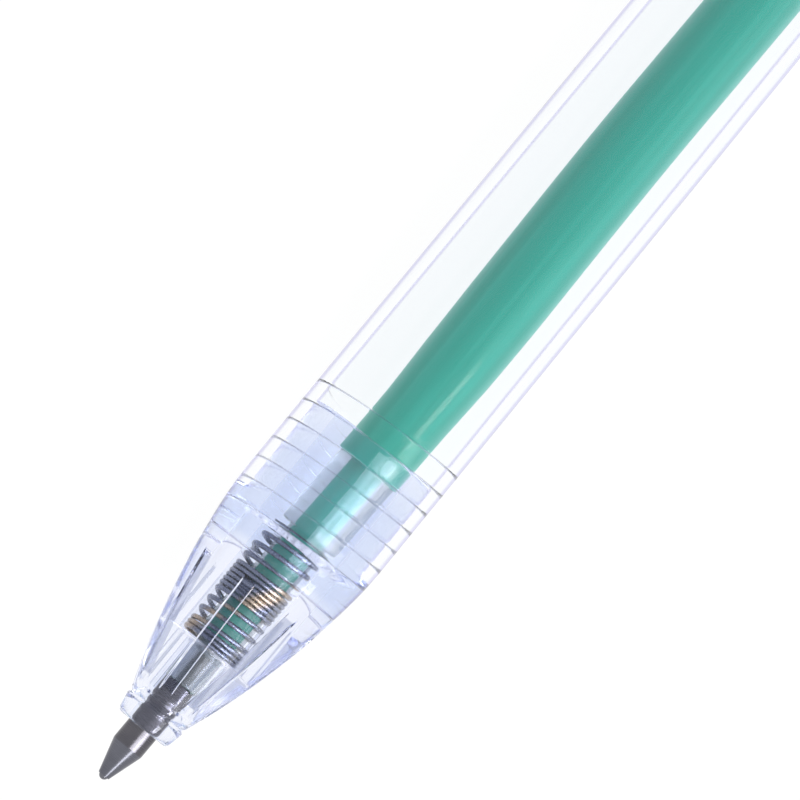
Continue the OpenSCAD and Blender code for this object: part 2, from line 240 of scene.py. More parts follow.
# Spring
WIRE_R = 0.168
WIRE_SIDES = 14
WIRE_STEPS = 36
COIL_R = 2.17
SPRING_ROOM = 0.02
# Turns in each run of coils, closed and open by turns, from the front
SPRING_TURNS = (2.75, 3.25, 6, 3.5, 2)
DEAD_PITCH = 2.03 * WIRE_R
SPRING_BEND_X = 17
SPRING_BEND = 0.32
# The straw-coloured band, a painted warm reflection, lies in the middle of this span of values of Y plus the
# slant times X
REFLECTION_SLANT = 0.62
REFLECTION_SPAN = (6.7, 12.1)

# Camera, in metres: as in the photograph, it looks down on the pen's front half, a little from the point's
# side
AXIS_ANGLE = math.radians(50.63)
CAMERA_TILT = math.radians(5.3)
CAMERA_DISTANCE = 0.28
FRAME_WIDTH = 0.0546
LOOK_AT = Vector((0.0327, 0.0006, 0))
SENSOR_MM = 36

# Studio, in metres
FLOOR_HALF = 3
FLOOR_GLOW = 0.92
FLOOR_GLOW_SHARE = 0.85
WORLD_LEVEL = 0.62
LAMP_DISTANCE = 0.6

# Clear plastic goes over to a painted shade, its darker edge tint, across this share of the angle, and dims a
# little before that
EDGE_BAND = 0.1
EDGE_DIM = 0.99

# A Mix node's sockets for colours
MIX_FIRST = 6
MIX_SECOND = 7
MIX_RESULT = 2


# Outlines


def bowed(start, end, half_angle, steps):
    """Points of an arc from start to end, as (x, radius), that bows out through half_angle each side."""
    start, end = np.array(start, float), np.array(end, float)
    length = np.linalg.norm(end - start)
    along = (end - start) / length
    out = np.array([-along[1], along[0]])
    radius = length / (2 * math.sin(half_angle))
    middle = (start + end) / 2 - out * radius * math.cos(half_angle)
    angles = np.linspace(-half_angle, half_angle, steps + 1)
    return [tuple(middle + radius * (along * math.sin(a) + out * math.cos(a))) for a in angles]


def filleted(points):
    """An open outline of (x, radius) or (x, radius, fillet) points, with its filleted corners rounded."""
    rounded = []
    for i, point in enumerate(points):
        here = np.array(point[:2], float)
        if len(point) < 3 or i in (0, len(points) - 1):
            rounded.append(tuple(here))
            continue
        before = np.array(points[i - 1][:2], float) - here
        after = np.array(points[i + 1][:2], float) - here
        lengths = np.linalg.norm(before), np.linalg.norm(after)
        reach = min(point[2], FILLET_SHARE * lengths[0], FILLET_SHARE * lengths[1])
        first = here + before / lengths[0] * reach
        last = here + after / lengths[1] * reach
        for t in np.linspace(0, 1, FILLET_STEPS + 1):
            rounded.append(tuple((1 - t) ** 2 * first + 2 * t * (1 - t) * here + t ** 2 * last))
    return rounded


def eased(share):
    """A share from 0 to 1 that starts and ends gently."""
    return share * share * (3 - 2 * share)


# Meshes


def even_azimuths(count):
    """Azimuths at even steps round the pen."""
    return np.arange(count) * 2 * math.pi / count


def polar(x, radius, azimuths):
    """Points at places along the pen, distances from its axis and azimuths round it."""
    return np.stack(np.broadcast_arrays(x, radius * np.sin(azimuths), radius * np.cos(azimuths)), -1)


def turned(outline, azimuths):
    """Grid of points from an outline of (x, radius) turned round the pen's axis."""
    outline = np.array(outline, float)
    return polar(outline[:, :1], outline[:, 1:], azimuths)


def threaded(ends, radius, height, width, azimuths):
    """Grid of points that follows a thread's helix between two end planes, and its rows per pitch.

    The radius is given as (places, radii). The thread stands out from it by height, and fades in and out at
    its ends. The grid's rows run along the helix, so that a row's end meets the row one pitch in front of it.
    """
    start, end = ends
    one_pitch = np.concatenate([THREAD_PLAIN, width / THREAD_PITCH * THREAD_FLANKS, -THREAD_PLAIN[:0:-1]])
    first = math.floor((start - THREAD_LINE_X) / THREAD_PITCH) - 1
    last = math.ceil((end - THREAD_LINE_X) / THREAD_PITCH) + 2
    turns = np.repeat(np.arange(first, last), len(one_pitch))
    marks = np.tile(one_pitch, last - first)
    shape = eased(np.clip(1 + THREAD_CREST - 2 * np.abs(marks) * THREAD_PITCH / width, 0, 1))
    path = THREAD_LINE_X + THREAD_PITCH * (turns + marks)
    x = np.clip(path[:, None] - THREAD_PITCH * azimuths / (2 * math.pi), start, end)
    fade = np.clip((x - start) / THREAD_FADE_IN, 0, 1) * np.clip((end - x) / THREAD_FADE_OUT, 0, 1)
    return polar(x, np.interp(x, *radius) + height * shape[:, None] * fade, azimuths), len(one_pitch)


def lean(grid):
    """The same points bowed with the refill and turned with it about the ball's foremost point."""
    along = np.clip((grid[..., 0] - BOW_X[0]) / (BOW_X[1] - BOW_X[0]), 0, 1)
    bent = grid.copy()
    bent[..., 1] -= BOW * np.sin(math.pi * along) ** 2
    turn = np.array(Matrix.Rotation(-LEAN, 3, "Z"))
    return bent @ turn.T


def grid_faces(grid, offset, shift=0):
    """Quads of a grid that closes round its columns. A helix meets itself shift rows further on."""
    rows, columns = grid.shape[:2]
    faces = []
    for i in range(rows - 1):
        for j in range(columns):
            back = (max(i - shift, 0), max(i + 1 - shift, 0)) if j == columns - 1 else (i, i + 1)
            k = (j + 1) % columns
            faces.append((
                offset + i * columns + j,
                offset + (i + 1) * columns + j,
                offset + back[1] * columns + k,
                offset + back[0] * columns + k,
            ))
    return faces


def placed(name, data):
    """A new object in the scene."""
    piece = bpy.data.objects.new(name, data)
    bpy.context.scene.collection.objects.link(piece)
    return piece


def smoothed(name, mesh, shaped, sharp=SHARP_ANGLE):
    """An object from a mesh's worked copy, shaded smooth but for the edges sharper than an angle."""
    shaped.to_mesh(mesh)
    shaped.free()
    mesh.shade_smooth()
    mesh.set_sharp_from_angle(angle=math.radians(sharp))
    return placed(name, mesh)


def solid(name, patches, sharp=SHARP_ANGLE):
    """A closed mesh object from grids, or (grid, shift) pairs, that meet at their edges."""
    points, faces = [], []
    for patch in patches:
        grid, shift = patch if isinstance(patch, tuple) else (patch, 0)
        faces += grid_faces(grid, sum(len(p) for p in points), shift)
        points.append(grid.reshape(-1, 3))
    mesh = bpy.data.meshes.new(name)
    mesh.from_pydata((np.concatenate(points) * MM).tolist(), [], faces)
    shaped = bmesh.new()
    shaped.from_mesh(mesh)
    bmesh.ops.remove_doubles(shaped, verts=shaped.verts, dist=MERGE * MM)
    bmesh.ops.dissolve_degenerate(shaped, edges=shaped.edges, dist=MERGE * MM)
    bmesh.ops.recalc_face_normals(shaped, faces=shaped.faces)
    return smoothed(name, mesh, shaped, sharp)


def softened(node, name, width):
    """A copy of a CAD node's mesh whose sharp edges are rounded."""
    mesh = frame["nodes"][node].data.copy()
    mesh.name = name
    shaped = bmesh.new()
    shaped.from_mesh(mesh)
    bmesh.ops.remove_doubles(shaped, verts=shaped.verts, dist=CAD_MERGE * MM)
    bmesh.ops.dissolve_limit(
        shaped, angle_limit=math.radians(FLAT_ANGLE), verts=shaped.verts, edges=shaped.edges)
    edges = [
        edge for edge in shaped.edges
        if len(edge.link_faces) == 2 and edge.calc_face_angle() > math.radians(BEVEL_ANGLE)]
    bmesh.ops.bevel(
        shaped, geom=edges, offset=width * MM, segments=2, profile=0.5, affect="EDGES", clamp_overlap=True)
    return smoothed(name, mesh, shaped)


def dress(piece, material, body=None, node=None):
    """Gives a piece its material and slot, puts it on its body, and hides the CAD node that it stands for."""
    piece.data.materials.clear()
    piece.data.materials.append(material)
    if body:
        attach(piece, body)
    if node:
        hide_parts(node)
    return piece


# Material nodes


def new_material(name):
    """A material with its node tree and shader."""
    material = bpy.data.materials.new(name)
    material.use_nodes = True
    tree = material.node_tree
    return material, tree, tree.nodes["Principled BSDF"]


def add(tree, kind, values=None, **settings):
    """A new node with its settings and the values of its inputs."""
    node = tree.nodes.new(kind)
    for key, value in settings.items():
        setattr(node, key, value)
    for key, value in (values or {}).items():
        node.inputs[key].default_value = value
    return node


def coordinates(tree, stretch=(1, 1, 1)):
    """The piece's own coordinates in millimetres, stretched."""
    place = add(tree, "ShaderNodeTexCoord")
    scaled = add(tree, "ShaderNodeMapping", {"Scale": [s / MM for s in stretch]})
    tree.links.new(place.outputs["Object"], scaled.inputs["Vector"])
    return scaled.outputs["Vector"]


def axes_of(tree):
    """The piece's own X, Y and Z in millimetres, each as a socket."""
    axes = add(tree, "ShaderNodeSeparateXYZ")
    tree.links.new(coordinates(tree), axes.inputs["Vector"])
    return tuple(axes.outputs)


def noise(tree, scale, stretch=(1, 1, 1), detail=3):
    """Noise whose features are about 1 / scale millimetres wide."""
    node = add(tree, "ShaderNodeTexNoise", {"Scale": scale, "Detail": detail, "Roughness": 0.55})
    tree.links.new(coordinates(tree, stretch), node.inputs["Vector"])
    return node.outputs["Fac"]


def ramp(tree, source, stops):
    """Colours, or grey levels, spread over a source's value."""
    node = add(tree, "ShaderNodeValToRGB")
    band = node.color_ramp
    while len(band.elements) < len(stops):
        band.elements.new(0.5)
    for element, (place, colour) in zip(band.elements, stops):
        element.position = place
        element.color = (*colour, 1) if isinstance(colour, tuple) else (colour, colour, colour, 1)
    tree.links.new(source, node.inputs["Fac"])
    return node.outputs["Color"]


def bump(tree, shader, source, depth):
    """Relief of a depth in millimetres on a shader."""
    node = add(tree, "ShaderNodeBump", {"Strength": 1, "Distance": depth * MM})
    tree.links.new(source, node.inputs["Height"])
    tree.links.new(node.outputs["Normal"], shader.inputs["Normal"])


def maths(tree, operation, *values):
    """A maths node whose inputs are sockets or numbers."""
    node = add(tree, "ShaderNodeMath", operation=operation)
    for place, value in enumerate(values):
        if isinstance(value, (int, float)):
            node.inputs[place].default_value = value
        else:
            tree.links.new(value, node.inputs[place])
    return node.outputs[0]


def product(tree, parts):
    """The product of some sockets."""
    whole = parts[0]
    for part in parts[1:]:
        whole = maths(tree, "MULTIPLY", whole, part)
    return whole


def spread(tree, source, start, end):
    """0 where a source has its start value, 1 where it has its end value, and even between them."""
    node = add(tree, "ShaderNodeMapRange", {"From Min": start, "From Max": end})
    tree.links.new(source, node.inputs["Value"])
    return node.outputs["Result"]


def mixed(tree, share, first, second):
    """Goes over from a first colour to a second by a share. Either is a socket or a colour."""
    node = add(tree, "ShaderNodeMix", data_type="RGBA")
    tree.links.new(share, node.inputs["Factor"])
    for place, colour in ((MIX_FIRST, first), (MIX_SECOND, second)):
        if isinstance(colour, tuple):
            node.inputs[place].default_value = (*colour, 1)
        else:
            tree.links.new(colour, node.inputs[place])
    return node.outputs[MIX_RESULT]


def axis_distance(tree, y, z):
    """Distance from the pen's axis."""
    squares = maths(tree, "ADD", maths(tree, "MULTIPLY", y, y), maths(tree, "MULTIPLY", z, z))
    return maths(tree, "SQRT", squares)


def flute_floor(tree):
    """1 on the floors of the nose's flutes and 0 elsewhere."""
    x, y, z = axes_of(tree)
    radius = axis_distance(tree, y, z)
    turn = maths(tree, "ADD", maths(tree, "ARCTAN2", y, z), 2 * math.pi - FLUTE_AZIMUTH)
    across = maths(tree, "MULTIPLY", maths(tree, "PINGPONG", turn, math.pi / FLUTES), radius)
    return product(tree, [
        maths(tree, "LESS_THAN", across, FLUTE_HALF - FLUTE_EDGE),
        maths(tree, "GREATER_THAN", radius, maths(tree, "MULTIPLY_ADD", x, OUTSIDE_SLOPE, OUTSIDE_R)),
        maths(tree, "GREATER_THAN", x, FLUTE_FRONT_X + FLUTE_RUN_OUT / 2),
        maths(tree, "LESS_THAN", x, FLUTE_REAR_X - FLUTE_RUN_OUT / 2),
    ])


def seam_edge(tree):
    """1 on the nose's rounded edge and shoulder at the seam and 0 elsewhere."""
    x, y, z = axes_of(tree)
    return product(tree, [
        maths(tree, "GREATER_THAN", x, SEAM_X - SEAM_EDGE),
        maths(tree, "GREATER_THAN", axis_distance(tree, y, z), SPIGOT_R + SEAM_EDGE),
    ])


def spigot_face(tree):
    """1 on the outer face of the nose's spigot, less towards its rear end, and 0 elsewhere."""
    x, y, z = axes_of(tree)
    front, full, fading, rear = SPIGOT_TINT_X
    return product(tree, [
        maths(tree, "GREATER_THAN", axis_distance(tree, y, z), (MOUTH_R + SPIGOT_R) / 2),
        spread(tree, x, front, full),
        spread(tree, x, rear, fading),
    ])


# Materials


def clear_plastic(name, tint, edge_shade_colour, edge_start, shine, density, is_nose=False):
    """Clear polystyrene: faintly lilac where it is thick, with painted shade, a darker tint, where it is seen
    edge on.

    The nose also has frosted flutes whose floors carry painted shade, a blue-grey tint, a deeper tint on its
    spigot and a dark edge at the seam.
    """
    material, tree, shader = new_material(name)
    shader.inputs["Transmission Weight"].default_value = 1
    shader.inputs["IOR"].default_value = 1.53
    shader.inputs["Specular Tint"].default_value = (shine, shine, shine, 1)
    edge = add(tree, "ShaderNodeLayerWeight", {"Blend": 0.5})
    # The darker tint where the surface is seen edge on is painted shade
    colour = ramp(tree, edge.outputs["Facing"], [
        (0.0, tint), (edge_start, tuple(EDGE_DIM * c for c in tint)), (edge_start + EDGE_BAND, edge_shade_colour)])
    haze = ramp(tree, noise(tree, 0.6), [(0.35, 0.01), (0.7, 0.04)])
    if is_nose:
        frost_and_shade = flute_floor(tree)
        colour = mixed(tree, spigot_face(tree), colour, SPIGOT_TINT)
        colour = mixed(tree, seam_edge(tree), colour, SEAM_TINT)
        # The flutes' floors are frosted, and their blue-grey tint is painted shade
        colour = mixed(tree, frost_and_shade, colour, FLUTE_SHADE_TINT)
        haze = mixed(tree, frost_and_shade, haze, FROST_ROUGHNESS)
    tree.links.new(colour, shader.inputs["Base Color"])
    tree.links.new(haze, shader.inputs["Roughness"])
    bump(tree, shader, noise(tree, 0.25, (0.3, 1, 1), 1), 0.004)
    depth = add(tree, "ShaderNodeVolumeAbsorption", {"Color": (0.78, 0.81, 0.955, 1), "Density": density})
    tree.links.new(depth.outputs["Volume"], tree.nodes["Material Output"].inputs["Volume"])
    return material


def refill_plastic():
    """Green extruded tube with soft streaks along its length."""
    material, tree, shader = new_material("refill_plastic")
    streaks = noise(tree, 1.4, (0.015, 1, 1), 4)
    colour = ramp(tree, streaks, [
        (0.3, (0.012, 0.355, 0.275)), (0.5, (0.018, 0.39, 0.305)), (0.72, (0.03, 0.44, 0.35))])
    tree.links.new(colour, shader.inputs["Base Color"])
    gloss = ramp(tree, noise(tree, 2.5, (0.05, 1, 1)), [(0.3, 0.5), (0.7, 0.62)])
    tree.links.new(gloss, shader.inputs["Roughness"])
    bump(tree, shader, streaks, 0.03)
    shader.inputs["Specular IOR Level"].default_value = 0.15
    shader.inputs["Coat Weight"].default_value = 0.45
    shader.inputs["Coat Roughness"].default_value = 0.1
    shader.inputs["Sheen Weight"].default_value = 0.8
    shader.inputs["Sheen Roughness"].default_value = 0.6
    shader.inputs["Sheen Tint"].default_value = (0.6, 0.96, 0.94, 1)
    return material


def moulded_plastic(name, dark, light, rough):
    """Opaque moulded plastic with a slight mottle and a fine satin grain."""
    material, tree, shader = new_material(name)
    tree.links.new(ramp(tree, noise(tree, 0.35), [(0.3, dark), (0.7, light)]), shader.inputs["Base Color"])
    gloss = ramp(tree, noise(tree, 1.2), [(0.3, rough - 0.07), (0.7, rough + 0.07)])
    tree.links.new(gloss, shader.inputs["Roughness"])
    bump(tree, shader, noise(tree, 9, detail=2), 0.004)
    return material


def cloudy_plastic():
    """Natural, cloudy plastic that shows the metal shank and the ink inside it."""
    material, tree, shader = new_material("pale_plastic")
    shader.inputs["Transmission Weight"].default_value = 0.88
    shader.inputs["IOR"].default_value = 1.49
    shader.inputs["Specular Tint"].default_value = (0.5, 0.5, 0.5, 1)
    shader.inputs["Coat Weight"].default_value = 0.3
    shader.inputs["Coat Roughness"].default_value = 0.08
    cloud = noise(tree, 0.8)
    tint = ramp(tree, cloud, [(0.3, (0.48, 0.525, 0.545)), (0.7, (0.59, 0.62, 0.64))])
    tree.links.new(tint, shader.inputs["Base Color"])
    tree.links.new(ramp(tree, cloud, [(0.3, 0.1), (0.7, 0.16)]), shader.inputs["Roughness"])
    return material


def tip_metal():
    """Dark nickel silver, turned on a lathe: fine rings round the point, a painted reflection that makes the
    cone brighter, and painted shade that makes the body behind it darker.
    """
    material, tree, shader = new_material("tip_metal")
    shader.inputs["Metallic"].default_value = 1
    behind_cone = spread(tree, axes_of(tree)[0], CONE_X - CONE_EDGE, CONE_X + CONE_EDGE)
    mottle = noise(tree, 0.9)
    # The cone's brighter colour is a painted reflection, and the body's darker colour is painted shade
    cone_painted_reflection = ramp(tree, mottle, [(0.3, (0.125, 0.127, 0.15)), (0.7, (0.15, 0.152, 0.178))])
    body_painted_shade = ramp(tree, mottle, [(0.3, (0.095, 0.092, 0.106)), (0.7, (0.12, 0.116, 0.13))])
    tree.links.new(mixed(tree, behind_cone, cone_painted_reflection, body_painted_shade), shader.inputs["Base Color"])
    rings = noise(tree, 1, (14, 0.05, 0.05), 2)
    tree.links.new(ramp(tree, rings, [(0.3, 0.2), (0.7, 0.3)]), shader.inputs["Roughness"])
    bump(tree, shader, rings, 0.0015)
    return material


def spring_steel():
    """Drawn blue-grey wire with a painted warm reflection, a straw-coloured band that runs slantwise over the
    coils.
    """
    material, tree, shader = new_material("spring_steel")
    shader.inputs["Metallic"].default_value = 1
    x, y, _ = axes_of(tree)
    across = spread(tree, maths(tree, "MULTIPLY_ADD", x, REFLECTION_SLANT, y), *REFLECTION_SPAN)
    # The straw-coloured band is a painted reflection
    steel, warm_reflection = (0.2, 0.215, 0.27), (0.42, 0.33, 0.24)
    colour = ramp(tree, across, [(0.36, steel), (0.45, warm_reflection), (0.55, warm_reflection), (0.64, steel)])
    tree.links.new(colour, shader.inputs["Base Color"])
    drawn = noise(tree, 6, detail=2)
    tree.links.new(ramp(tree, drawn, [(0.3, 0.18), (0.7, 0.34)]), shader.inputs["Roughness"])
    bump(tree, shader, drawn, 0.006)
    return material


def ball_metal():
    """Tungsten carbide, with its fine grain."""
    material, tree, shader = new_material("ball_metal")
    shader.inputs["Metallic"].default_value = 1
    grain = noise(tree, 12, detail=4)
    colour = ramp(tree, grain, [(0.3, (0.13, 0.13, 0.15)), (0.7, (0.2, 0.2, 0.22))])
    tree.links.new(colour, shader.inputs["Base Color"])
    tree.links.new(ramp(tree, grain, [(0.3, 0.15), (0.7, 0.3)]), shader.inputs["Roughness"])
    return material


clear_barrel = clear_plastic(
    "clear_barrel", (0.982, 0.995, 1.0), (0.38, 0.36, 0.72), edge_start=0.68, shine=0.15, density=45)
clear_nose = clear_plastic(
    "clear_nose", (0.905, 0.925, 0.99), (0.88, 0.88, 0.96), edge_start=0.8, shine=0.35, density=50,
    is_nose=True)
refill_green = refill_plastic()
green = moulded_plastic("green_plastic", (0.05, 0.34, 0.26), (0.065, 0.39, 0.3), rough=0.3)
white = moulded_plastic("white_plastic", (0.74, 0.74, 0.73), (0.8, 0.8, 0.79), rough=0.38)
pale = cloudy_plastic()
stopper = moulded_plastic("pale_stopper", (0.68, 0.72, 0.74), (0.76, 0.79, 0.81), rough=0.4)
ink = moulded_plastic("ink", (0.025, 0.58, 0.46), (0.035, 0.66, 0.53), rough=0.15)
metal = tip_metal()
steel_wire = spring_steel()
carbide = ball_metal()


# Nose and barrel


def flute_middles():
    """Azimuths of the flutes' middles."""
    return FLUTE_AZIMUTH + even_azimuths(FLUTES)


def nose_azimuths(radius):
    """Columns round the nose at a radius, close together at the flutes' walls."""
    wall = (FLUTE_HALF + FLUTE_COLUMNS) / max(radius, NOZZLE_R)
    between = np.linspace(wall[-1], math.pi / FLUTES, 5)[1:]
    half = np.concatenate([wall, between])
    one = np.concatenate([-half[-2::-1], [0], half])
    return (flute_middles()[:, None] + one).ravel()


def fluted(outline):
    """Grid of the nose's outer face, with the flutes sunk into it."""
    rows = []
    for x, radius in outline:
        azimuths = nose_azimuths(radius)
        apart = np.abs((azimuths[:, None] - flute_middles() + math.pi) % (2 * math.pi) - math.pi).min(1)
        inside = np.clip((FLUTE_HALF - apart * radius) / FLUTE_EDGE, 0, 1)
        run = np.clip(min(x - FLUTE_FRONT_X, FLUTE_REAR_X - x) / FLUTE_RUN_OUT, 0, 1)
        rows.append(polar(x, radius - FLUTE_DEPTH * eased(inside) * eased(run), azimuths))
    return np.array(rows)


def nose_turned(outline):
    """Grid of an outline turned with the nose's own columns."""
    return np.concatenate([turned([point], nose_azimuths(point[1])) for point in outline])


def nose():
    """The nose with its nozzle collar, flutes, stepped bore and threaded spigot."""
    collar_x = NOZZLE_X + NOZZLE_LEN
    face_start = (collar_x + NOZZLE_GROOVE, NOZZLE_BACK_R)
    front = filleted([
        (GUIDE_X, GUIDE_R), (NOZZLE_X, GUIDE_R, 0.12), (NOZZLE_X, NOZZLE_R, NOZZLE_EDGE),
        (collar_x - NOZZLE_GROOVE, NOZZLE_BACK_R, 0.06), (collar_x, NOZZLE_BACK_R - NOZZLE_GROOVE, 0.05),
        face_start])
    arc = np.array(bowed(face_start, (SEAM_X, SEAM_R), NOSE_BOW, NOSE_ARC_STEPS))
    x = np.linspace(arc[0, 0], SEAM_X - SEAM_EDGE, NOSE_ROWS)
    face = np.stack([x, np.interp(x, arc[:, 0], arc[:, 1])], 1)
    shoulder = filleted([
        tuple(face[-1]), (SEAM_X, SEAM_R, SEAM_EDGE), (SEAM_X, SPIGOT_R, 0.03), (MALE_X[0], SPIGOT_R)])
    rear = filleted([
        (MALE_X[1], SPIGOT_R), (SPIGOT_X, SPIGOT_R, 0.2), (SPIGOT_X, MOUTH_R, 0.2), (MOUTH_X, MOUTH_R, 0.15),
        (MOUTH_X - MOUTH_TAPER, CHAMBER_R, 0.15), (SEAT_X, CHAMBER_R, 0.15), (SEAT_X, HOLDER_BORE_R, 0.08),
        (GUIDE_X + GUIDE_TAPER, HOLDER_BORE_R, 0.3), (GUIDE_X, GUIDE_R)])
    thread = threaded(
        MALE_X, (MALE_X, (SPIGOT_R, SPIGOT_R)), MALE_HEIGHT, MALE_WIDTH, nose_azimuths(SPIGOT_R))
    return solid("nose_shell", [
        nose_turned(front), fluted(face), nose_turned(shoulder), thread, nose_turned(rear)])


def barrel_shell():
    """The barrel, which swells behind the seam, with the thread's groove in its bore."""
    azimuths = even_azimuths(BARREL_COLUMNS)
    front_x = SEAM_X + SEAM_GAP
    swell_x = SEAM_X + SWELL_LEN
    swell = bowed((front_x, SEAM_R), (swell_x, BARREL_R), math.atan(SEAM_STEP / SWELL_LEN), SWELL_STEPS)
    straight = [(x, BARREL_R) for x in np.linspace(swell_x, swell_x + STRAIGHT_LEN, STRAIGHT_ROWS)[1:]]
    bore = [
        (x, np.interp(x, [BORE_STRAIGHT_X, BORE_REAR_X], [BORE_R, BORE_REAR_R]))
        for x in np.linspace(BORE_REAR_X, BORE_STRAIGHT_X, BORE_ROWS)]
    outline = filleted([
        (FEMALE_X[0], TIGHT_R), (front_x, TIGHT_R, 0.03), (front_x, SEAM_R, SEAM_EDGE), *swell[1:], *straight,
        (BARREL_X, BARREL_REAR_R, 0.15), (BARREL_X, BORE_REAR_R, 0.1), *bore, (FEMALE_X[1], BORE_R)])
    thread = threaded(FEMALE_X, (TIGHT_X, (TIGHT_R, BORE_R)), FEMALE_DEPTH, FEMALE_WIDTH, azimuths)
    return solid("barrel_shell", [turned(outline, azimuths), thread])


# Refill and spring


def leaning(name, outline):
    """A closed piece of the refill, turned from an outline and leaning with it."""
    return solid(name, [lean(turned(outline, even_azimuths(REFILL_COLUMNS)))])


def metal_point():
    """The turned metal point, with the ball's socket, the ink's channel and the shank."""
    return leaning("metal_point", filleted([
        (LIP_X, SOCKET_R), (LIP_X, LIP_R, 0.05), (CONE_X, TIP_R, 0.06), (METAL_X, TIP_R, 0.08),
        (METAL_X, SHANK_R, 0.05), (SHANK_X, SHANK_R, 0.1), (SHANK_X, CHANNEL_R, 0.05),
        (CHANNEL_X, CHANNEL_R, 0.05), (SOCKET_X, SOCKET_R, 0.1), (LIP_X, SOCKET_R)]))


def adaptor():
    """The cloudy moulding that joins the point to the tube, with the ink's passage through it."""
    return leaning("point_adaptor", filleted([
        (TIP_X, SHANK_BORE_R), (TIP_X, HOLDER_R, 0.15), (HOLDER_X, HOLDER_R, 0.1),
        *[(x, NECK_R, 0.12) for x in np.linspace(HOLDER_X, NECK_X, NECK_ROWS)],
        *[(x, MID_R, 0.2) for x in np.linspace(NECK_X, MID_X, MID_ROWS)],
        (MID_X, PLUG_R, 0.08), (ADAPTOR_X, PLUG_R, 0.2),
        *[(x, PASSAGE_R, 0.05) for x in np.linspace(ADAPTOR_X, SHANK_X, PASSAGE_ROWS)],
        (SHANK_X, SHANK_BORE_R, 0.05), (TIP_X, SHANK_BORE_R)]))


def tube_bore(x):
    """Radius of the tube's bore at a place along the pen."""
    return np.interp(x, *TUBE_R) - TUBE_WALL


def ink_fill():
    """Ink in the adaptor's passage and in the tube, with a hollow rear end."""
    wide_x = ADAPTOR_X + TUBE_GAP
    return leaning("ink_fill", filleted([
        (INK_FRONT_X, 0),
        *[(x, PASSAGE_R + WETTING) for x in np.linspace(INK_FRONT_X, wide_x, PASSAGE_ROWS)],
        *[(x, tube_bore(x) - TUBE_GAP) for x in np.arange(wide_x, INK_X, INK_STEP)],
        (INK_X, tube_bore(INK_X) - TUBE_GAP, 0.1), (INK_X - INK_RIM_DEPTH, INK_RIM_R, 0.6),
        (INK_X - INK_HOLLOW, 0)]))


def tube():
    """The refill's tube, which widens a little behind its front end."""
    along = np.linspace(MID_X + TUBE_GAP, TUBE_X, TUBE_ROWS)
    outside = [(x, tube_bore(x) + TUBE_WALL, 0.15) for x in along]
    inside = [(x, tube_bore(x)) for x in along[::-1]]
    return leaning("refill_sleeve", filleted([inside[-1], *outside, *inside]))


def spring():
    """One wire, with coils that touch at its ends and in its middle and open coils between them.

    The places where the open coils start and end come with it.
    """
    ends = spring_low.x + WIRE_R + SPRING_ROOM, spring_high.x - WIRE_R - SPRING_ROOM
    closed, opened = sum(SPRING_TURNS[::2]), sum(SPRING_TURNS[1::2])
    open_pitch = (ends[1] - ends[0] - closed * DEAD_PITCH) / opened
    lengths = [turns * (open_pitch if i % 2 else DEAD_PITCH) for i, turns in enumerate(SPRING_TURNS)]
    marks = np.cumsum([0, *SPRING_TURNS])
    places = ends[0] + np.cumsum([0, *lengths])
    turns = np.linspace(0, marks[-1], int(marks[-1] * WIRE_STEPS) + 1)
    x = np.interp(turns, marks, places)
    azimuths = 2 * math.pi * turns
    bend = SPRING_BEND * np.clip((x - SPRING_BEND_X) / (ends[1] - SPRING_BEND_X), 0, 1) ** 2
    centre = np.stack([x, -COIL_R * np.sin(azimuths) - bend, COIL_R * np.cos(azimuths)], 1)
    ahead = np.gradient(centre, axis=0)
    ahead /= np.linalg.norm(ahead, axis=1, keepdims=True)
    out = np.stack([0 * x, -np.sin(azimuths), np.cos(azimuths)], 1)
    side = np.cross(ahead, out)
    ring = even_azimuths(WIRE_SIDES)[None, :, None]
    rings = centre[:, None] + WIRE_R * (np.cos(ring) * out[:, None] + np.sin(ring) * side[:, None])
    caps = [np.broadcast_to(centre[k], (1, WIRE_SIDES, 3)) for k in (0, -1)]
    piece = solid("spring_wire", [np.concatenate([caps[0], rings, caps[1]])], WIRE_SHARP_ANGLE)
    return piece, (places[1], places[-2])


nose_piece = dress(nose(), clear_nose, "barrel", "nose_cone")
barrel_piece = dress(barrel_shell(), clear_barrel, "barrel", "barrel")
dress(metal_point(), metal, "refill", "writing_tip")
adaptor_piece = dress(adaptor(), pale, "refill", "tip_holder")
dress(ink_fill(), ink, "refill", "ink_column")
dress(tube(), refill_green, "refill", "refill_tube")
for shell in (nose_piece, barrel_piece, adaptor_piece):
    # Clear plastic lets the lamps reach what lies inside it
    shell.visible_shadow = False
    shell.visible_diffuse = False
wire, open_coils = spring()
dress(wire, steel_wire, node="return_spring")
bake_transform(wire)

dress(softened("clip", "clip_arm", CLIP_BEVEL), green, "barrel", "clip")
dress(softened("top_collar", "collar", CAP_BEVEL), green, "barrel", "top_collar")
dress(softened("push_button", "button", CAP_BEVEL), green, "button", "push_button")
dress(softened("cam_sleeve", "cam", CLICK_BEVEL), white, "barrel", "cam_sleeve")
dress(softened("rotor", "click_rotor", CLICK_BEVEL), white, "rotor", "rotor")
dress(softened("plunger", "click_plunger", CLICK_BEVEL), white, "button", "plunger")
for node, material in (("ball", carbide), ("refill_plug", stopper)):
    frame["nodes"][node].data.materials.clear()
    frame["nodes"][node].data.materials.append(material)


# Studio


def seen_directly(tree):
    """1 for what the camera sees, itself, in gloss or through glass, and 0 for light that falls on things."""
    path = add(tree, "ShaderNodeLightPath").outputs
    seen = maths(tree, "MAXIMUM", path["Is Camera Ray"], path["Is Glossy Ray"])
    return maths(tree, "MAXIMUM", seen, path["Is Transmission Ray"])


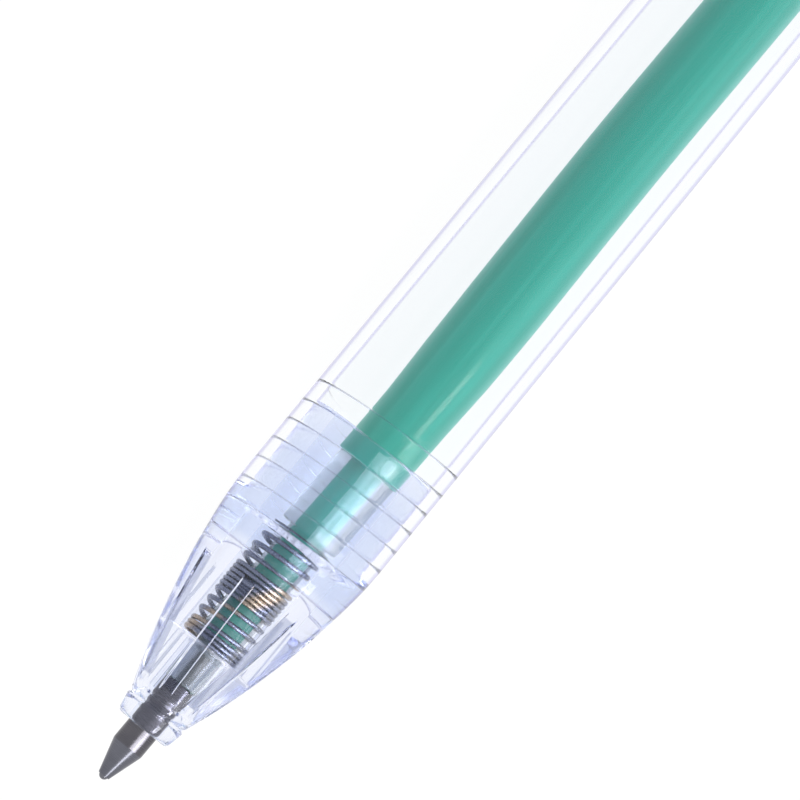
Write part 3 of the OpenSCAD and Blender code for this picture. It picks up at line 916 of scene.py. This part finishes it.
def floor():
    """A wide pale floor that looks white and keeps a faint shadow."""
    mesh = bpy.data.meshes.new("floor")
    corners = [(x * FLOOR_HALF, y * FLOOR_HALF, FLOOR_Z) for x, y in ((-1, -1), (1, -1), (1, 1), (-1, 1))]
    mesh.from_pydata(corners, [], [(0, 1, 2, 3)])
    material, tree, shader = new_material("floor")
    shader.inputs["Base Color"].default_value = (0.9, 0.9, 0.9, 1)
    shader.inputs["Roughness"].default_value = 1
    glow = add(tree, "ShaderNodeEmission", {"Strength": FLOOR_GLOW})
    share = add(tree, "ShaderNodeMapRange", {"To Min": 0, "To Max": FLOOR_GLOW_SHARE})
    tree.links.new(seen_directly(tree), share.inputs["Value"])
    lit = add(tree, "ShaderNodeMixShader")
    tree.links.new(share.outputs["Result"], lit.inputs[0])
    tree.links.new(shader.outputs[0], lit.inputs[1])
    bright = add(tree, "ShaderNodeMixShader")
    tree.links.new(seen_directly(tree), bright.inputs[0])
    tree.links.new(glow.outputs[0], bright.inputs[2])
    both = add(tree, "ShaderNodeAddShader")
    tree.links.new(lit.outputs[0], both.inputs[0])
    tree.links.new(bright.outputs[0], both.inputs[1])
    tree.links.new(both.outputs[0], tree.nodes["Material Output"].inputs["Surface"])
    mesh.materials.append(material)
    placed("floor", mesh)


def world():
    """Even light all round, which looks white where it is seen."""
    surroundings = bpy.data.worlds.new("studio")
    surroundings.use_nodes = True
    tree = surroundings.node_tree
    strength = add(tree, "ShaderNodeMapRange", {"To Min": WORLD_LEVEL, "To Max": 1})
    tree.links.new(seen_directly(tree), strength.inputs["Value"])
    tree.links.new(strength.outputs["Result"], tree.nodes["Background"].inputs["Strength"])
    tree.nodes["Background"].inputs["Color"].default_value = (0.98, 0.99, 1, 1)
    bpy.context.scene.world = surroundings


def softbox(name, aim, from_vertical, size, radiance, gloss_only=False):
    """A rectangular lamp, along and across the pen, that shines at a point from the -Y side.

    One that is gloss_only shows in reflections and through clear plastic, and lights no matt surface.
    """
    lamp = bpy.data.lights.new(name, "AREA")
    lamp.shape = "RECTANGLE"
    lamp.size, lamp.size_y = size
    lamp.energy = radiance * math.pi * size[0] * size[1]
    piece = placed(name, lamp)
    piece.visible_camera = False
    piece.visible_diffuse = not gloss_only
    back = Vector((0, -math.sin(from_vertical), math.cos(from_vertical)))
    along = Vector((1, 0, 0))
    turn = Matrix((along, back.cross(along), back)).transposed().to_4x4()
    piece.matrix_world = Matrix.Translation(aim + back * LAMP_DISTANCE) @ turn


def camera():
    """The camera, turned so that the pen's axis runs up to the right as in the photograph."""
    lens = bpy.data.cameras.new("camera")
    lens.sensor_width = SENSOR_MM
    lens.lens = SENSOR_MM * CAMERA_DISTANCE / FRAME_WIDTH
    lens.clip_start = 0.01
    piece = placed("camera", lens)
    back = Vector((-math.sin(CAMERA_TILT), 0, math.cos(CAMERA_TILT)))
    along = Vector((math.cos(CAMERA_TILT), 0, math.sin(CAMERA_TILT)))
    across = back.cross(along)
    right = math.cos(AXIS_ANGLE) * along - math.sin(AXIS_ANGLE) * across
    up = math.sin(AXIS_ANGLE) * along + math.cos(AXIS_ANGLE) * across
    turn = Matrix((right, up, back)).transposed().to_4x4()
    piece.matrix_world = Matrix.Translation(LOOK_AT + back * CAMERA_DISTANCE) @ turn
    bpy.context.scene.camera = piece


floor()
world()
softbox("key", LOOK_AT - Vector((0.325, 0, 0)), math.radians(48), size=(0.75, 0.16), radiance=6.5)
# The strips put highlights on the metal point, in front of the nozzle and inside it
softbox("strip", Vector((-0.031, 0, 0)), math.radians(41), size=(0.085, 0.56), radiance=11, gloss_only=True)
softbox("rear_strip", Vector((0.3, 0, 0)), math.radians(66), size=(0.14, 0.2), radiance=11, gloss_only=True)
camera()

scene = bpy.context.scene
scene.view_settings.view_transform = "Standard"
# Enough bounces for light to pass through the nested clear shells
scene.cycles.max_bounces = 32
scene.cycles.transmission_bounces = 24
scene.cycles.glossy_bounces = 24
